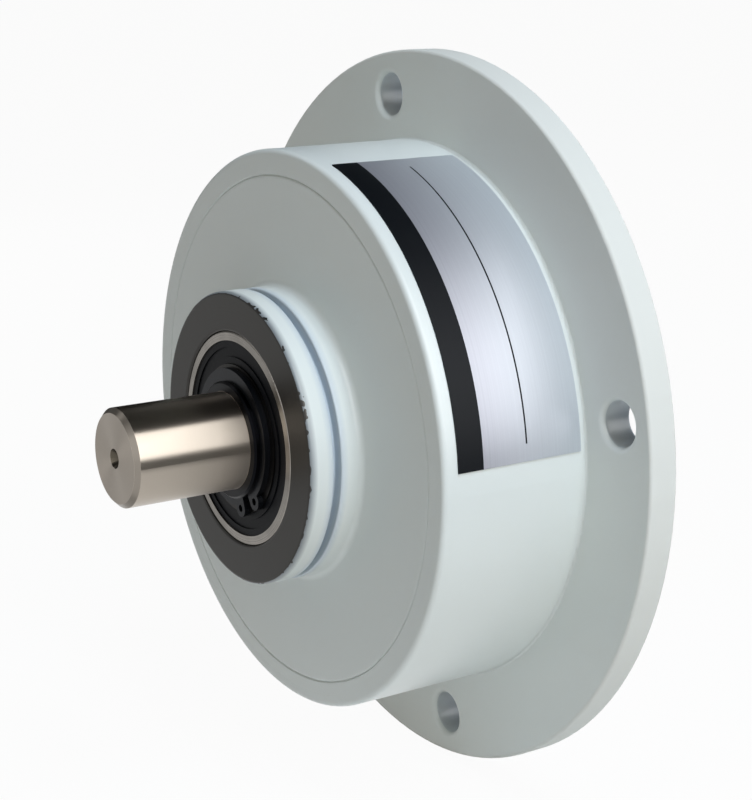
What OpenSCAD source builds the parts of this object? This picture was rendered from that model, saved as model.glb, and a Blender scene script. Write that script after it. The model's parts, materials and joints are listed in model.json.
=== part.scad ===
// Flange-mounted magnetic powder brake with one output shaft.
// The shaft lies on the Y axis and its output end points to -Y.
// The flange's mounting face is the plane y = 0, with the origin at its centre, and +Z is up.
// Heights named h_... are distances ahead of the mounting face, along the shaft.

/* [Mounting flange] */
// Outer diameter of the mounting flange
flange_d = 190; // [186:1:240]
// Thickness of the flange plate
flange_t = 8; // [7:0.5:12]
// Rounding of the flange's rim
flange_edge_r = 0.8; // [0.3:0.1:2]
// Diameter of the circle that the mounting holes lie on
bolt_circle_d = 168; // [162:1:172]
// Diameter of a mounting hole
bolt_hole_d = 11; // [6:0.5:12]
// Number of mounting holes
bolt_count = 4; // [3:1:8]
// Turn of the first mounting hole from +X towards +Z
bolt_turn = 10; // [0:1:45]
// Rounded lip of a mounting hole
bolt_lip_r = 1.6; // [0.3:0.1:2]
// Height of the register that centres the body on the flange
spigot_h = 2; // [1:0.5:3]
// Paint fillet in the corner between body and flange
root_fillet_r = 0.6; // [0.3:0.1:1.5]

/* [Body] */
// Outer diameter of the cylindrical body
body_d = 144; // [134:1:148]
// Length of the body ahead of the flange
body_len = 41; // [40:0.5:60]
// Wall of the body around the front cover
body_wall = 6.5; // [6:0.1:7.5]
// Rounding of the body's front edge
body_edge_r = 1.2; // [0.5:0.1:2]
// Chamfer on both sides of the seam around the front cover
seam_chamfer = 0.35; // [0.1:0.05:0.8]

/* [Front cover] */
// Thickness of the front cover
cover_t = 8; // [7:0.5:8.5]
// Diameter of the bearing boss
boss_d = 75; // [66:1:90]
// Length of the boss ahead of the body
boss_len = 14.5; // [13:0.5:20]
// Fillet at the foot of the boss
boss_fillet_r = 1.5; // [0.5:0.1:4]
// Rounding of the boss's front edge
boss_edge_r = 0.8; // [0.2:0.1:1.5]
// Width of the snap groove round the boss
groove_w = 2.1; // [1:0.1:3]
// Depth of the snap groove
groove_depth = 3; // [0.5:0.1:4]
// Land between the boss's front face and the groove
groove_land = 6.5; // [3:0.1:8]

/* [Shaft] */
// Diameter of the output shaft
shaft_d = 25; // [16:0.5:28]
// Length of the output shaft ahead of the boss
shaft_out = 33.5; // [20:0.5:60]
// Chamfer of the shaft's end
shaft_chamfer = 1.2; // [0.5:0.1:2]
// Length of journal ahead of the front circlip
journal_lip = 1.4; // [1:0.1:3]
// Diameter of the seat that carries the rotor
rotor_seat_d = 34; // [32:0.5:35]
// Diameter of the collar behind the rotor
collar_d = 38; // [37:0.5:44]
// Thickness of the collar
collar_t = 2.5; // [1.5:0.1:3]
// Mouth diameter of the centre drilling
centre_drill_d = 5; // [3:0.1:8]
// Pilot diameter of the centre drilling
centre_pilot_d = 2.4; // [1:0.1:2.9]
// Depth of the pilot below the cone
centre_pilot_depth = 3; // [1:0.1:6]

/* [Front bearing] */
// Bore of the front bearing
front_bore = 30; // [29:0.5:31]
// Outer diameter of the front bearing
front_od = 55; // [54:0.5:58]
// Width of the front bearing
front_w = 13; // [12:0.5:14]
// Ball diameter of the front bearing
front_ball = 7.2; // [6.4:0.1:7.4]
// Number of balls in the front bearing
front_balls_n = 11; // [8:1:12]
// Setback of the front bearing from the boss face
front_inset = 0.3; // [0.1:0.1:1]

/* [Rear bearing] */
// Bore of the rear bearing
rear_bore = 20; // [19:0.5:21]
// Outer diameter of the rear bearing
rear_od = 42; // [41:0.5:44]
// Width of the rear bearing
rear_w = 12; // [11:0.5:12.5]
// Ball diameter of the rear bearing
rear_ball = 6.4; // [5.4:0.1:6.6]
// Number of balls in the rear bearing
rear_balls_n = 9; // [7:1:10]

/* [Bearing details] */
// Width of the outer ring's bare face
ring_face = 2.4; // [2:0.1:2.8]
// Thickness of a bearing seal
bearing_seal_t = 1.2; // [0.8:0.1:1.4]
// Setback of a bearing seal from the ring faces
bearing_seal_inset = 0.4; // [0.2:0.1:0.6]
// Radial thickness of a ball cage
cage_t = 2.2; // [1.4:0.1:2.6]
// Rounding of the rings' outer corners
ring_corner_r = 0.6; // [0.2:0.1:1]

/* [Circlips] */
// Thickness of the front circlip
front_clip_t = 1.5; // [1:0.1:2]
// Radial width of the front circlip opposite its gap
front_clip_w = 3.9; // [3:0.1:4.5]
// Direction of the front circlip's gap, from +X towards +Z
front_clip_turn = -63; // [-180:1:180]
// Thickness of the rear circlip
rear_clip_t = 1.2; // [0.8:0.1:1.6]
// Radial width of the rear circlip opposite its gap
rear_clip_w = 2.8; // [2:0.1:3.4]
// Depth of both circlip grooves
clip_groove_depth = 0.7; // [0.4:0.1:1]

/* [Rotor and field] */
// Radial room for bobbin and coil between the pole shoes and the body
coil_room = 10.5; // [8:0.5:14]
// Width of the powder gap round the rotor
powder_gap = 1.2; // [0.9:0.1:1.6]
// Wall of the rotor's rim
rotor_rim_t = 9; // [7:0.5:10]
// Thickness of the rotor's web
rotor_web_t = 7; // [4:0.5:8]
// Outer diameter of the rotor's hub
rotor_hub_d = 50; // [46:1:60]
// Length of the rotor's hub
rotor_hub_len = 9.5; // [8.5:0.5:10]
// Axial room on each side of the rotor's rim
rotor_side_gap = 2.5; // [1.5:0.1:4]
// Axial width of the non-magnetic break between the poles
flux_break_w = 7; // [4:0.5:10]
// Depth of the rotor's grooves
rotor_groove_depth = 0.8; // [0.4:0.1:1.5]
// Radial thickness of the pole shoes
shoe_t = 4; // [2.5:0.1:4.6]
// Thickness of the pole plates beside the coil
pole_t = 5; // [4:0.5:6]
// Wall of the coil bobbin
bobbin_wall = 1.2; // [0.8:0.1:1.6]
// Half the angle that the settled powder covers
powder_half_angle = 55; // [20:1:85]

/* [Powder seals and spacers] */
// Outer diameter of the front powder seal
front_seal_od = 47; // [46:0.5:50]
// Width of the front powder seal
front_seal_w = 7; // [5:0.5:7.5]
// Outer diameter of the front spacer sleeve
front_spacer_d = 36; // [34:0.5:38]
// Outer diameter of the rear powder seal
rear_seal_od = 36; // [34:0.5:38]
// Width of the rear powder seal
rear_seal_w = 6; // [4:0.5:6.5]
// Outer diameter of the rear spacer sleeve
rear_spacer_d = 25; // [24:0.5:27]
// Outer diameter of the rear bearing hub
hub_d = 54; // [51:1:64]

/* [Rear cover and screws] */
// Diameter of the rear cover
rear_cover_d = 56; // [54:1:60]
// Thickness of the rear cover
rear_cover_t = 2; // [1.5:0.1:2.4]
// Setback of the rear cover from the mounting face
rear_cover_inset = 0.3; // [0.1:0.1:0.8]
// Number of rear cover screws
cover_screw_n = 3; // [3:1:6]
// Thread diameter of a rear cover screw
cover_screw_d = 3; // [2:0.5:3]
// Length of a rear cover screw
cover_screw_len = 8; // [5:0.5:10]
// Number of screws between flange and body
body_screw_n = 6; // [4:1:8]
// Turn of the first body screw from +X towards +Z
body_screw_turn = 40; // [0:1:60]
// Thread diameter of a body screw
body_screw_d = 4; // [3:0.5:4]
// Length of a body screw under its head
body_screw_len = 16; // [10:1:20]

/* [Nameplate] */
// Width of the nameplate along the shaft
plate_w = 35.2; // [20:0.1:36]
// Distance of the nameplate's front edge from the body's front face
plate_setback = 3.9; // [2:0.1:4.5]
// Lower edge of the nameplate, from +X towards +Z
plate_from = 4.7; // [-20:0.1:20]
// Upper edge of the nameplate, from +X towards +Z
plate_to = 75.9; // [50:0.1:110]
// Thickness of the nameplate
plate_t = 0.3; // [0.2:0.05:0.8]

/* [Lead grommet] */
// Diameter of the lead hole in the body wall
lead_hole_d = 10; // [7:0.5:12]
// Bore of the grommet
lead_bore_d = 5; // [3:0.5:6]
// Collar diameter of the grommet
lead_collar_d = 14; // [13:0.5:18]
// Height of the grommet's collar
lead_collar_h = 2; // [1:0.1:3]

/* [Fits] */
// Radial clearance between pieces that are assembled and stay put
fit = 0.02; // [0.01:0.01:0.05]
// Clearance round a ball in its races
ball_play = 0.08; // [0.05:0.01:0.12]
// Clearance round a ball in its cage
cage_play = 0.15; // [0.1:0.01:0.2]
// Clearance between a seal lip and what turns in it
lip_play = 0.08; // [0.05:0.01:0.1]
// Clearance between settled powder and rotor
powder_play = 0.4; // [0.3:0.05:0.5]
// Axial room between turning and fixed shoulders
shoulder_gap = 0.7; // [0.5:0.1:0.8]

/* [Hidden] */
$fn = 96;

// Overlap that lets a cutter pass a face cleanly
past = 1;
// Overlap that joins a fillet to its walls
knit = 0.05;

// Radii of the main round pieces
flange_r = flange_d / 2;
body_r = body_d / 2;
bore_r = body_r - body_wall;
boss_r = boss_d / 2;
shoe_r = bore_r - coil_room;
pole_bore_r = shoe_r - shoe_t;
rotor_r = pole_bore_r - powder_gap;

// Heights of the fixed pieces
h_spigot = flange_t + spigot_h;
h_body = flange_t + body_len;
h_cover = h_body - cover_t;
h_boss = h_body + boss_len;
h_middle = (h_spigot + h_cover) / 2;

// Front bearing and what it carries
front_bearing = [front_bore, front_od, front_w, front_ball, front_balls_n];
h_front_1 = h_boss - front_inset;
h_front_0 = h_front_1 - front_w;
h_journal = h_front_1 + front_clip_t + journal_lip;
h_shaft = h_boss + shaft_out;

// Rear bearing and what it carries, from the rear cover forwards
rear_bearing = [rear_bore, rear_od, rear_w, rear_ball, rear_balls_n];
// Shaft behind the rear circlip, and shoulder that the rear bearing sits against
rear_stub = 1.6;
bearing_lip_t = 1.5;
h_recess = rear_cover_inset + rear_cover_t;
h_shaft_rear = h_recess + shoulder_gap;
h_rear_0 = h_shaft_rear + rear_stub + rear_clip_t;
h_rear_1 = h_rear_0 + rear_w;
h_rear_seal = h_rear_1 + bearing_lip_t;
h_hub = h_rear_seal + rear_seal_w;
h_collar_0 = h_hub + shoulder_gap;
h_collar_1 = h_collar_0 + collar_t;
h_rotor_hub = h_collar_1 + rotor_hub_len;

// Rotor rim and field stack
rotor_rim_r = rotor_r - rotor_rim_t;
h_rim_0 = h_spigot + rotor_side_gap;
h_rim_1 = h_cover - rotor_side_gap;
h_break_0 = h_middle - flux_break_w / 2;
h_break_1 = h_middle + flux_break_w / 2;
h_coil_0 = h_spigot + pole_t;
h_coil_1 = h_cover - pole_t;

// Parallel key between shaft and rotor
key_w = 5;
key_h = 5;
key_depth = 3;
key_end_gap = 0.5;
key_base = rotor_seat_d / 2 - key_depth;
key_len = rotor_hub_len - 2 * key_end_gap;

// Share of the ball diameter that each race wraps beyond the pitch circle
race_wrap = 0.3;
function pitch_r(b) = (b[0] + b[1]) / 4;
function land_out(b) = pitch_r(b) + race_wrap * b[3];
function land_in(b) = pitch_r(b) - race_wrap * b[3];
function seal_out(b) = b[1] / 2 - ring_face;

// Stand the shaft-wise drawing plane up: local z points to the output end
module along_shaft() rotate([90, 0, 0]) children();

// Turn a half profile, drawn as radius and height, about the shaft
module turned() along_shaft() rotate_extrude() children();

// Band of a half profile between two radii and two heights
module band(r0, r1, h0, h1) translate([r0, h0]) square([r1 - r0, h1 - h0]);

// Web between a square corner and the arc that rounds it; towards points to the arc's centre
module corner_web(at, towards, r)
  translate(at) difference() {
    translate([towards[0] > 0 ? -knit : -r, towards[1] > 0 ? -knit : -r]) square(r + knit);
    translate(towards * r) circle(r);
  }

// Triangle that chamfers a square corner; towards points into the piece
module corner_cut(at, towards, c)
  translate(at) polygon([
    -knit * towards,
    [towards[0] * (c + knit), -towards[1] * knit],
    [-towards[0] * knit, towards[1] * (c + knit)]
  ]);

// Copies at equal turns about the shaft, r from it and h ahead of the mounting face
module ring_of(n, r, h, turn = 0)
  along_shaft() for (i = [0 : n - 1]) rotate(turn + i * 360 / n) translate([r, 0, h]) children();

// Mounting flange

// Cutter of one mounting hole with its rounded lip, standing on the mounting face
module bolt_hole_cut() {
  translate([0, 0, -past]) cylinder(d = bolt_hole_d, h = flange_t + 2 * past);
  rotate_extrude() corner_web([bolt_hole_d / 2, flange_t], [1, -1], bolt_lip_r);
}

// Screw heads, as shares of the thread diameter, and their hexagon sockets
socket_head_share = 1.75;
flat_head_share = 1.85;
hexagon_share = 0.7;
hexagon_depth_share = 0.6;
body_screw_r = (bore_r + body_r) / 2;
body_head_d = socket_head_share * body_screw_d;
body_head_h = body_screw_d;
body_head_room = 0.3;
body_head_inset = 0.5;
body_head_seat = body_head_inset + body_head_h;
screw_tip_gap = 1;
cover_screw_r = (rear_od + rear_cover_d) / 4;
cover_head_d = flat_head_share * cover_screw_d;
cover_head_h = (cover_head_d - cover_screw_d) / 2;

module mounting_flange() color("#e4e8e5") difference() {
  turned() difference() {
    union() {
      band(0, flange_r, 0, flange_t);
      band(0, bore_r - fit, 0, h_spigot);
      band(0, hub_d / 2, 0, h_hub);
      corner_web([body_r + fit, flange_t], [1, 1], root_fillet_r);
    }
    corner_web([flange_r, 0], [-1, 1], flange_edge_r);
    corner_web([flange_r, flange_t], [-1, -1], flange_edge_r);
    band(0, rear_cover_d / 2 + fit, -past, h_recess);
    band(0, rear_od / 2 + fit, -past, h_rear_1);
    band(0, rear_spacer_d / 2 + shoulder_gap, -past, h_hub + past);
    band(0, rear_seal_od / 2 + fit, h_rear_seal, h_hub + past);
    band(bore_r - fit, body_r + fit, flange_t, h_body);
  }
  ring_of(bolt_count, bolt_circle_d / 2, 0, bolt_turn) bolt_hole_cut();
  ring_of(body_screw_n, body_screw_r, 0, body_screw_turn) {
    translate([0, 0, -past]) cylinder(d = body_screw_d + 2 * body_head_room, h = flange_t + 2 * past);
    translate([0, 0, -past]) cylinder(d = body_head_d + 2 * body_head_room, h = body_head_seat + past);
  }
  ring_of(cover_screw_n, cover_screw_r, 0)
    cylinder(d = cover_screw_d, h = rear_cover_inset + cover_screw_len);
}

// Body

lead_r = lead_hole_d / 2;

// Stand children on the body's hidden side, with local z pointing out of the wall
module at_lead_hole() translate([0, -h_middle, 0]) rotate([0, -90, 0]) children();

module body_ring() color("#e4e8e5") difference() {
  turned() difference() {
    band(bore_r, body_r, flange_t, h_body);
    corner_web([body_r, h_body], [-1, -1], body_edge_r);
    corner_cut([bore_r, h_body], [1, -1], seam_chamfer);
  }
  at_lead_hole() translate([0, 0, bore_r - past]) cylinder(r = lead_r, h = body_wall + 2 * past);
  ring_of(body_screw_n, body_screw_r, 0, body_screw_turn)
    cylinder(d = body_screw_d, h = body_head_seat + body_screw_len);
}

// Front cover

module front_cover() color("#e4e8e5") turned() difference() {
  union() {
    band(0, bore_r - fit, h_cover, h_body);
    band(0, boss_r, h_cover, h_boss);
    corner_web([boss_r, h_body], [1, 1], boss_fillet_r);
  }
  corner_cut([bore_r - fit, h_body], [-1, -1], seam_chamfer);
  corner_web([boss_r, h_boss], [-1, -1], boss_edge_r);
  band(boss_r - groove_depth, boss_r + past, h_boss - groove_land - groove_w, h_boss - groove_land);
  band(0, front_od / 2 + fit, h_front_0, h_boss + past);
  band(0, front_spacer_d / 2 + shoulder_gap, h_cover - past, h_boss);
  band(0, front_seal_od / 2 + fit, h_cover - past, h_cover + front_seal_w);
  corner_cut([front_od / 2 + fit, h_boss], [1, -1], seam_chamfer);
}

// Rear cover and screws

module rear_cover() color("#c9ced0") difference() {
  turned() band(0, rear_cover_d / 2, rear_cover_inset, h_recess);
  ring_of(cover_screw_n, cover_screw_r, rear_cover_inset) {
    translate([0, 0, -past]) cylinder(d = cover_screw_d + 2 * fit, h = rear_cover_t + 2 * past);
    countersink(2 * fit);
  }
}

// Cone of a countersunk head with its flat side on the plane z = 0
module countersink(room) {
  cylinder(d1 = cover_head_d + room, d2 = cover_screw_d + room, h = cover_head_h);
}

// Hexagon socket for a thread diameter, sunk into a head that stands on the plane z = 0
module hex_socket(thread_d, head_h) translate([0, 0, -past])
  cylinder(d = hexagon_share * thread_d / cos(30), h = hexagon_depth_share * head_h + past, $fn = 6);

module rear_cover_screws() color("#8d9295")
  ring_of(cover_screw_n, cover_screw_r, rear_cover_inset) difference() {
    union() {
      countersink(0);
      cylinder(d = cover_screw_d - 2 * fit, h = cover_screw_len - screw_tip_gap);
    }
    hex_socket(cover_screw_d, cover_head_h);
  }

module body_screws() color("#3c3f42")
  ring_of(body_screw_n, body_screw_r, body_head_inset, body_screw_turn) difference() {
    union() {
      cylinder(d = body_head_d, h = body_head_h);
      cylinder(d = body_screw_d - 2 * fit, h = body_head_h + body_screw_len - screw_tip_gap);
    }
    hex_socket(body_screw_d, body_head_h);
  }

// Nameplate and grommet

module nameplate() color("#b9bcc4") along_shaft() rotate(plate_from)
  rotate_extrude(angle = plate_to - plate_from)
    band(body_r + fit, body_r + fit + plate_t, h_body - plate_setback - plate_w, h_body - plate_setback);

// Rubber bush: a neck through the wall and a rounded collar that hugs the outside of the body
module lead_grommet() color("#26282a") union() {
  at_lead_hole() rotate_extrude() band(lead_bore_d / 2, lead_r - fit, bore_r, body_r + lead_collar_h / 2);
  difference() {
    at_lead_hole() rotate_extrude() difference() {
      band(lead_bore_d / 2, lead_collar_d / 2, bore_r, body_r + lead_collar_h);
      corner_web([lead_collar_d / 2, body_r + lead_collar_h], [-1, -1], lead_collar_h / 2);
    }
    along_shaft() cylinder(r = body_r + fit, h = h_body, $fn = 360);
  }
}

// Field: poles, break ring, bobbin and coil

module rear_pole() color("#8b9094") turned() union() {
  band(pole_bore_r, bore_r - fit, h_spigot, h_coil_0);
  band(pole_bore_r, shoe_r, h_spigot, h_break_0);
}

module front_pole() color("#8b9094") turned() union() {
  band(pole_bore_r, bore_r - fit, h_coil_1, h_cover);
  band(pole_bore_r, shoe_r, h_break_1, h_cover);
}

module flux_break_ring() color("#c9a45c") turned() band(pole_bore_r, shoe_r, h_break_0, h_break_1);

bobbin_r = shoe_r + fit;
coil_r_0 = bobbin_r + bobbin_wall;
coil_r_1 = bore_r - bobbin_wall;

module coil_bobbin() color("#d8d2c0") turned() difference() {
  band(bobbin_r, bore_r - fit, h_coil_0, h_coil_1);
  band(coil_r_0, bore_r + past, h_coil_0 + bobbin_wall, h_coil_1 - bobbin_wall);
}

module field_coil() color("#b4632f") turned()
  band(coil_r_0 + fit, coil_r_1, h_coil_0 + bobbin_wall + fit, h_coil_1 - bobbin_wall - fit);

// Loose iron powder, settled in the lowest part of the gap
module magnetic_powder() color("#3a3a3c") along_shaft() rotate(270 - powder_half_angle)
  rotate_extrude(angle = 2 * powder_half_angle)
    band(rotor_r + powder_play, pole_bore_r - fit, h_rim_0, h_rim_1);

// Bearings

module outer_ring(b, h) turned() difference() {
  band(land_out(b), b[1] / 2, h, h + b[2]);
  translate([pitch_r(b), h + b[2] / 2]) circle(d = b[3] + 2 * ball_play);
  seal_room = bearing_seal_inset + bearing_seal_t;
  band(pitch_r(b), seal_out(b), h - past, h + seal_room);
  band(pitch_r(b), seal_out(b), h + b[2] - seal_room, h + b[2] + past);
  corner_web([b[1] / 2, h], [-1, 1], ring_corner_r);
  corner_web([b[1] / 2, h + b[2]], [-1, -1], ring_corner_r);
}

module inner_ring(b, h) turned() difference() {
  band(b[0] / 2 + fit, land_in(b), h, h + b[2]);
  translate([pitch_r(b), h + b[2] / 2]) circle(d = b[3] + 2 * ball_play);
}

module ball_set(b, h) ring_of(b[4], pitch_r(b), h + b[2] / 2) sphere(d = b[3]);

// Cage with one drilled pocket for each ball, between the two seals
module ball_cage(b, h) {
  side = bearing_seal_inset + bearing_seal_t + cage_seal_gap;
  difference() {
    turned() band(pitch_r(b) - cage_t / 2, pitch_r(b) + cage_t / 2, h + side, h + b[2] - side);
    ring_of(b[4], pitch_r(b), h + b[2] / 2) rotate([0, 90, 0])
      cylinder(d = b[3] + 2 * cage_play, h = 2 * cage_t, center = true);
  }
}

// Room between a cage and the seals beside it, and depth of the groove moulded in a seal
cage_seal_gap = 0.3;
seal_step = 0.35;

// Moulded seal, thinned by a shallow ring groove on its outer side
module bearing_seal(b, h, outward) {
  middle_r = (seal_out(b) + land_in(b)) / 2;
  groove_h = outward > 0 ? h + bearing_seal_t - seal_step : h - past;
  turned() difference() {
    band(land_in(b) + lip_play, seal_out(b) - fit, h, h + bearing_seal_t);
    band(middle_r - ring_face / 2, middle_r + ring_face / 2, groove_h, groove_h + seal_step + past);
  }
}

// Seal on the output side and on the flange side of a bearing that starts at height h
module output_side_seal(b, h) bearing_seal(b, h + b[2] - bearing_seal_inset - bearing_seal_t, 1);
module flange_side_seal(b, h) bearing_seal(b, h + bearing_seal_inset, -1);

module front_outer_ring() color("#9a9590") outer_ring(front_bearing, h_front_0);
module front_inner_ring() color("#9a9590") inner_ring(front_bearing, h_front_0);
module front_balls() color("#c4c6c8") ball_set(front_bearing, h_front_0);
module front_cage() color("#b89a5a") ball_cage(front_bearing, h_front_0);
module front_outside_seal() color("#1d1f22") output_side_seal(front_bearing, h_front_0);
module front_inside_seal() color("#1d1f22") flange_side_seal(front_bearing, h_front_0);
module rear_outer_ring() color("#9a9590") outer_ring(rear_bearing, h_rear_0);
module rear_inner_ring() color("#9a9590") inner_ring(rear_bearing, h_rear_0);
module rear_balls() color("#c4c6c8") ball_set(rear_bearing, h_rear_0);
module rear_cage() color("#b89a5a") ball_cage(rear_bearing, h_rear_0);
module rear_outside_seal() color("#1d1f22") flange_side_seal(rear_bearing, h_rear_0);
module rear_inside_seal() color("#1d1f22") output_side_seal(rear_bearing, h_rear_0);

// Powder seals: a case wall, a web and a lip that runs on the spacer sleeve

// Thickness of each wall of a powder seal
seal_wall = 1.6;

// Half profile of a seal of width w, with its web on the line h = 0
module powder_seal(r_sleeve, r_case, w) {
  r_lip = r_sleeve + lip_play;
  band(r_case - seal_wall, r_case, 0, w);
  band(r_lip, r_case, 0, seal_wall);
  band(r_lip, r_lip + seal_wall, 0, w - seal_wall);
}

module front_powder_seal() color("#2b2d30")
  turned() translate([0, h_cover + front_seal_w]) mirror([0, 1])
    powder_seal(front_spacer_d / 2, front_seal_od / 2, front_seal_w);
module rear_powder_seal() color("#2b2d30")
  turned() translate([0, h_rear_seal]) powder_seal(rear_spacer_d / 2, rear_seal_od / 2, rear_seal_w);

// Turning pieces

// Chamfer of the journals, and how far the rotor's hub stands past its seat
journal_chamfer = 0.5;
seat_step = 0.2;

// Centre drilling: a 60 degree cone with a pilot hole, mouth on the plane z = 0 and sinking to -z
module centre_drilling() {
  cone_h = (centre_drill_d - centre_pilot_d) / 2 / tan(30);
  translate([0, 0, -cone_h]) cylinder(d1 = centre_pilot_d, d2 = centre_drill_d, h = cone_h);
  translate([0, 0, knit - cone_h - centre_pilot_depth]) cylinder(d = centre_pilot_d, h = centre_pilot_depth);
}

// Round-ended parallel key on the rotor seat, larger by room all round where it is a slot
module key_shape(room)
  translate([0, -h_collar_1 - rotor_hub_len / 2, key_base]) linear_extrude(key_h + room) {
    straight = key_len - key_w;
    square([key_w + 2 * room, straight], center = true);
    for (s = [-1, 1]) translate([0, s * straight / 2]) circle(d = key_w + 2 * room);
  }

module shaft() color("#a9a49b") difference() {
  turned() difference() {
    union() {
      band(0, rear_bore / 2, h_shaft_rear, h_collar_0 + knit);
      band(0, collar_d / 2, h_collar_0, h_collar_1);
      band(0, rotor_seat_d / 2, h_collar_1 - knit, h_rotor_hub - seat_step);
      band(0, front_bore / 2, h_rotor_hub - past, h_journal);
      band(0, shaft_d / 2, h_journal - past, h_shaft);
    }
    corner_cut([rear_bore / 2, h_shaft_rear], [-1, 1], journal_chamfer);
    corner_cut([front_bore / 2, h_journal], [-1, -1], journal_chamfer);
    corner_cut([shaft_d / 2, h_shaft], [-1, -1], shaft_chamfer);
    band(front_bore / 2 - clip_groove_depth, front_bore, h_front_1, h_front_1 + front_clip_t);
    band(rear_bore / 2 - clip_groove_depth, rear_bore, h_rear_0 - rear_clip_t, h_rear_0);
  }
  along_shaft() translate([0, 0, h_shaft]) centre_drilling();
  along_shaft() translate([0, 0, h_shaft_rear]) mirror([0, 0, 1]) centre_drilling();
  key_shape(0);
}

// Powder grooves on each half of the rotor
rotor_groove_w = 1.2;
rotor_groove_n = 3;

module rotor_drum() color("#7f858a") difference() {
  turned() difference() {
    union() {
      band(rotor_rim_r, rotor_r, h_rim_0, h_rim_1);
      band(rotor_hub_d / 2 - knit, rotor_rim_r + knit, h_collar_1, h_collar_1 + rotor_web_t);
      band(rotor_seat_d / 2 + fit, rotor_hub_d / 2, h_collar_1, h_rotor_hub);
    }
    groove_pitch = (h_break_0 - h_rim_0) / (rotor_groove_n + 1);
    band(rotor_r - rotor_rim_t / 2, rotor_r + past, h_break_0, h_break_1);
    for (i = [1 : rotor_groove_n], side = [-1, 1])
      translate([rotor_r, h_middle + side * (flux_break_w / 2 + i * groove_pitch)])
        square([2 * rotor_groove_depth, rotor_groove_w], center = true);
  }
  key_shape(fit);
}

module rotor_key() color("#8d9295") key_shape(0);

// Snap ring: eccentric, with two drilled lugs beside its gap, which points along local +x
module circlip(r_in, width, thick) {
  off_centre = clip_offset_share * width;
  lug_at = r_in + clip_lug_share * width;
  lug_r = clip_lug_r_share * width;
  gap_reach = 2 * lug_at;
  gap_half_w = gap_reach * tan(clip_gap_half_turn);
  linear_extrude(thick) difference() {
    union() {
      translate([-off_centre, 0]) circle(r = r_in + width - off_centre);
      for (s = [-1, 1]) rotate(s * clip_lug_turn) translate([lug_at, 0]) circle(r = lug_r);
    }
    circle(r = r_in);
    polygon([[0, 0], [gap_reach, gap_half_w], [gap_reach, -gap_half_w]]);
    for (s = [-1, 1]) rotate(s * clip_lug_turn) translate([lug_at, 0]) circle(r = clip_hole_share * lug_r);
  }
}

// Shape of both circlips: offset, lug place, lug radius and lug hole as shares, and angles
clip_offset_share = 0.14;
clip_lug_share = 0.85;
clip_lug_r_share = 0.57;
clip_hole_share = 0.42;
clip_lug_turn = 13;
clip_gap_half_turn = 6;
rear_clip_turn = 90;

module front_circlip() color("#202226")
  along_shaft() translate([0, 0, h_front_1]) rotate(front_clip_turn)
    circlip(front_bore / 2 - clip_groove_depth + fit, front_clip_w, front_clip_t);
module rear_circlip() color("#202226")
  along_shaft() translate([0, 0, h_rear_0 - rear_clip_t]) rotate(rear_clip_turn)
    circlip(rear_bore / 2 - clip_groove_depth + fit, rear_clip_w, rear_clip_t);

module front_spacer() color("#9aa0a4")
  turned() band(front_bore / 2 + fit, front_spacer_d / 2, h_rotor_hub, h_front_0);
module rear_spacer() color("#9aa0a4")
  turned() band(rear_bore / 2 + fit, rear_spacer_d / 2, h_rear_1, h_collar_0);

mounting_flange();
body_ring();
front_cover();
rear_cover();
rear_cover_screws();
body_screws();
nameplate();
lead_grommet();
rear_pole();
front_pole();
flux_break_ring();
coil_bobbin();
field_coil();
magnetic_powder();
front_outer_ring();
front_inner_ring();
front_balls();
front_cage();
front_outside_seal();
front_inside_seal();
rear_outer_ring();
rear_inner_ring();
rear_balls();
rear_cage();
rear_outside_seal();
rear_inside_seal();
front_powder_seal();
rear_powder_seal();
shaft();
rotor_drum();
rotor_key();
front_circlip();
rear_circlip();
front_spacer();
rear_spacer();
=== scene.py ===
"""Looks of a flange-mounted magnetic powder brake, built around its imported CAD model."""

import json
import math

import bmesh
import bpy
import numpy as np
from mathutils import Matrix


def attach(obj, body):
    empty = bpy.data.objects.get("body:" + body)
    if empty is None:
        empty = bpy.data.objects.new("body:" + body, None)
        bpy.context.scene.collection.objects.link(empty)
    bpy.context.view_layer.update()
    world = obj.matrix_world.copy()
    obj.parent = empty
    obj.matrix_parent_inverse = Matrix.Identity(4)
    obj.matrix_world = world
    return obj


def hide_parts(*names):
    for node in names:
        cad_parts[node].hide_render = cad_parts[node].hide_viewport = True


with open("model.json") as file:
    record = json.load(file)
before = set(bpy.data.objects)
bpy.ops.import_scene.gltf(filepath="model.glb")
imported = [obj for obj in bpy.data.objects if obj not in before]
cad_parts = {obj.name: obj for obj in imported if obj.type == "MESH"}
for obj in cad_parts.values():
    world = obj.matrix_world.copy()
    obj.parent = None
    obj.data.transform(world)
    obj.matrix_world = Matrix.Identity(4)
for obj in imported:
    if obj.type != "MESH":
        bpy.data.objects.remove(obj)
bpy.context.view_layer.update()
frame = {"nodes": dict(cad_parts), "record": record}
nodes = frame["nodes"]
mounts = {mount["name"]: mount for mount in frame["record"]["mounts"]}
scene = bpy.context.scene

# Sizes: the frame is in metres, and the sizes of the brake below are in millimetres and degrees
MM = 0.001

# Meshes: steps round the shaft and along each rounding, the stretch kept flat beside a rounding,
# the distance under which two points are one, and the angle from which an edge is sharp
TURN_STEPS = 300
ARC_STEPS = 5
FLAT_MARGIN = 0.3
SAME_POINT = 1e-6
SHARP_ANGLE = 40.0

# Front cover: snap groove, foot fillet and the soft edges that paint leaves
GROOVE_LAND = 6.5
GROOVE_W = 2.1
GROOVE_DEPTH = 3.0
GROOVE_ROOT = 0.3
BOSS_FILLET = 1.5
PAINTED_EDGE = 0.45
BOSS_EDGE = 0.8
SEAM_EDGE = 0.55
HIDDEN_EDGE = 0.1
FIT = 0.02

# Body: rounding of its front edge, and the film of paint over it
BODY_EDGE = 1.2
FILM = 0.02
FILM_W = 3.0
FILM_ROOT = 0.6

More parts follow.
